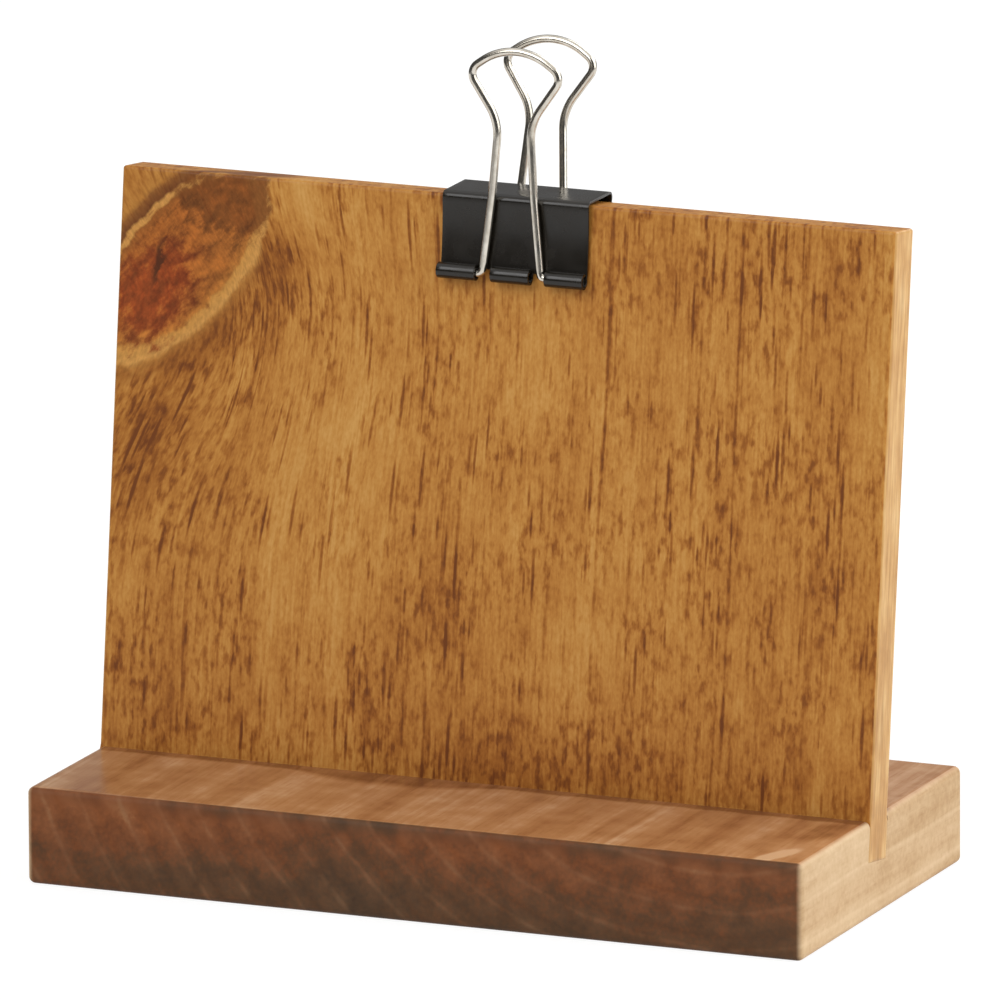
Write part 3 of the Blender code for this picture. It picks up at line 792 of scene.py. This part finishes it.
def rounded_line(corners, radii, steps):
    """A line through corner points, each of which is replaced by an arc of its radius that is
    tangent to the straight runs on either side."""
    pieces = [corners[:1]]
    for before, corner, after, radius in zip(corners, corners[1:], corners[2:], radii):
        back = (before - corner) / np.linalg.norm(before - corner)
        ahead = (after - corner) / np.linalg.norm(after - corner)
        half = math.acos(np.clip(back @ ahead, -1, 1)) / 2
        centre = corner + (back + ahead) / np.linalg.norm(back + ahead) * radius / math.sin(half)
        start = corner + back * radius / math.tan(half) - centre
        side = corner + ahead * radius / math.tan(half) - centre
        sweep = math.pi - 2 * half
        square = (side - start * math.cos(sweep)) / math.sin(sweep)
        turn = np.linspace(0, sweep, steps)[:, None]
        pieces.append(centre + start * np.cos(turn) + square * np.sin(turn))
    return np.concatenate([*pieces, corners[-1:]])


def wire_arm(name, place):
    """A round wire carried along the arm's line: rings of one radius square to the line, which close
    in a flattened half round at both tips."""
    half = np.concatenate([[(FOOT_TIP, 0)], WIRE_CORNERS[:, :2]])
    mirrored = half[-2::-1] * (-1, 1)
    corners = np.concatenate([half, mirrored])
    radii = np.concatenate([WIRE_CORNERS[:, 2], WIRE_CORNERS[-2::-1, 2]])
    line = rounded_line(corners, radii, ARC_STATIONS)
    step = np.linalg.norm(np.diff(line, axis=0), axis=1)
    run = np.concatenate([[0], np.cumsum(step)])
    even = np.linspace(0, run[-1], WIRE_STATIONS)
    line = np.stack([np.interp(even, run, line[:, axis]) for axis in (0, 1)], 1)
    ahead = np.gradient(line, axis=0)
    ahead /= np.linalg.norm(ahead, axis=1)[:, None]
    tip = np.linspace(0, math.pi / 2, TIP_STEPS + 1)[1:]
    centre = np.concatenate([
        line[0] - ahead[0] * TIP_LENGTH * np.sin(tip[::-1])[:, None],
        line,
        line[-1] + ahead[-1] * TIP_LENGTH * np.sin(tip)[:, None],
    ])
    radius = WIRE_RADIUS * np.concatenate([np.cos(tip[::-1]), np.ones(len(line)), np.cos(tip)])
    first, last = (np.tile(end, (TIP_STEPS, 1)) for end in (ahead[:1], ahead[-1:]))
    ahead = np.concatenate([first, ahead, last])
    around = np.linspace(0, 2 * math.pi, WIRE_SIDES + 1)[:-1]
    rings = np.zeros((len(centre), len(around), 3))
    flat = np.stack([-ahead[:, 1], ahead[:, 0]], 1)
    rings[..., 0::2] = centre[:, None] + radius[:, None, None] * np.cos(around)[:, None] * flat[:, None]
    rings[..., 1] = radius[:, None] * np.sin(around)
    index = np.arange(rings.shape[0] * rings.shape[1]).reshape(rings.shape[:2])
    here, after = index[:-1], index[1:]
    quads = np.stack([here, np.roll(here, -1, 1), np.roll(after, -1, 1), after], -1)
    return new_piece(name, rings.reshape(-1, 3), quads.reshape(-1, 4).tolist(), place)


# Bright nickel plating on drawn wire. It mirrors the room, slightly warm and a little dulled in
# patches a millimetre or two long, with the fine pitting of a plated surface.
DULL_SIZE = 1.667 * MM
PIT_SIZE = 0.1667 * MM
nickel, tree, shader = new_material("nickel_plated_spring_wire", Metallic=1.0)
space = add(tree, "TexCoord", out="Object")
dulled = add(tree, "TexNoise", {"Vector": space, "Scale": 1 / DULL_SIZE, "Detail": 3})
pitted = add(tree, "TexNoise", {"Vector": space, "Scale": 1 / PIT_SIZE, "Detail": 1})
plating = add(tree, "ValToRGB", {"Fac": dulled}, stops=[(0.3, "#C0B8AA"), (0.7, "#D8D2C7")])
gloss = add(tree, "MapRange", {"Value": dulled, 1: 0.3, 2: 0.7, 3: 0.24, 4: 0.12})
relief = add(tree, "Bump", {"Height": pitted, "Strength": 0.08, "Distance": 0.01 * MM})
tree.links.new(plating, shader.inputs["Base Color"])
tree.links.new(gloss, shader.inputs["Roughness"])
tree.links.new(relief, shader.inputs["Normal"])
for name, side, body, flex, fold, node in (
    ("arm_front", FRONT, "front_handle", "front_jaw_flex", "front_arm_fold", "front_arm"),
    ("arm_rear", REAR, "rear_handle", "rear_jaw_flex", "rear_arm_fold", "rear_arm"),
):
    bend, pivot = (in_clip(JOINTS[joint]["pos_m"]) * (side, 1) for joint in (flex, fold))
    lean = crossing_lean(pivot - bend, STRIP_OUTSIDE + ARM_GAP + WIRE_RADIUS)
    turned = Matrix.Rotation(-BOARD_LEAN - side * lean, 4, "X")
    arm = wire_arm(name, Matrix.Translation(JOINTS[fold]["pos_m"]) @ turned)
    arm.data.materials.append(nickel)
    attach(arm, body)
    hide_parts(node)


# Floor and light. A white table top, which shows white with the holder's soft shadow, under three
# large soft lamps: to the right, in front and behind. Polished surfaces mirror a room that is dark in
# front, paler behind and white overhead. A lamp has its place and size in metres, and its power.
FLOOR_SIZE = 1.9
FLOOR_LIT = "#E6E4E0"
FLOOR_SEEN = "#767676"
FLOOR_GLOW = 0.86
WHITE = "#FFFFFF"
ROOM_LIGHT = 0.42
PALE_WAY = (0.5, 0.85, 0.1)
DARK_SIDE = 0.06
PALE_SIDE = 0.28
CEILING = 1.0
LAMPS = (
    ("window", (0.80, 0.05, 0.50), 0.9, 6.2),
    ("fill", (-0.30, -1.0, 0.90), 0.8, 8.0),
    ("back", (0.35, 0.90, 0.75), 0.9, 7.5),
)
floor_mesh = bpy.data.meshes.new("table_top")
reach = FLOOR_SIZE / 2
corners = [(-reach, -reach, 0), (reach, -reach, 0), (reach, reach, 0), (-reach, reach, 0)]
floor_mesh.from_pydata(corners, [], [(0, 1, 2, 3)])
floor = bpy.data.objects.new("table_top", floor_mesh)
bpy.context.scene.collection.objects.link(floor)
table_white, tree, shader = new_material("white_table_top", Roughness=0.9)
rays = add(tree, "LightPath").node.outputs
seen = rays["Is Camera Ray"]
for ray in ("Is Glossy Ray", "Is Transmission Ray"):
    seen = add(tree, "Math", {0: seen, 1: rays[ray]}, operation="MAXIMUM")
shade = add(tree, "Mix", {
    0: seen, 6: linear(FLOOR_LIT), 7: linear(FLOOR_SEEN),
}, out=2, data_type="RGBA")
glow = add(tree, "Math", {0: seen, 1: FLOOR_GLOW}, operation="MULTIPLY")
tree.links.new(shade, shader.inputs["Base Color"])
shader.inputs["Emission Color"].default_value = linear(WHITE)
tree.links.new(glow, shader.inputs["Emission Strength"])
floor_mesh.materials.append(table_white)

world = bpy.data.worlds.new("white_room")
bpy.context.scene.world = world
world.use_nodes = True
tree = world.node_tree
way = add(tree, "TexCoord", out="Generated")
pale_side = add(tree, "VectorMath", {0: way, 1: PALE_WAY}, out="Value", operation="DOT_PRODUCT")
mirrored = add(tree, "MapRange", {"Value": pale_side, 1: -0.2, 2: 0.45, 3: DARK_SIDE, 4: PALE_SIDE})
overhead = add(tree, "SeparateXYZ", {0: way}, out="Z")
overhead = add(tree, "MapRange", {"Value": overhead, 1: 0.55, 2: 0.75})
mirrored = add(tree, "Mix", {0: overhead, 2: mirrored, 3: CEILING})
rays = add(tree, "LightPath").node.outputs
polished = add(tree, "Math", {
    0: rays["Is Glossy Ray"], 1: rays["Is Transmission Ray"],
}, operation="MAXIMUM")
room = add(tree, "Mix", {0: polished, 2: ROOM_LIGHT, 3: mirrored})
room = add(tree, "Mix", {0: rays["Is Camera Ray"], 2: room, 3: 1.0})
tree.links.new(room, tree.nodes["Background"].inputs["Strength"])
tree.nodes["Background"].inputs["Color"].default_value = linear(WHITE)

for name, place, size, power in LAMPS:
    lamp_data = bpy.data.lights.new(name, "AREA")
    lamp_data.energy = power
    lamp_data.size = size
    lamp = bpy.data.objects.new(name, lamp_data)
    aim = (VIEW_CENTRE - Vector(place)).to_track_quat("-Z", "Y").to_matrix().to_4x4()
    lamp.matrix_world = Matrix.Translation(place) @ aim
    bpy.context.scene.collection.objects.link(lamp)

bpy.context.scene.view_settings.view_transform = "Standard"
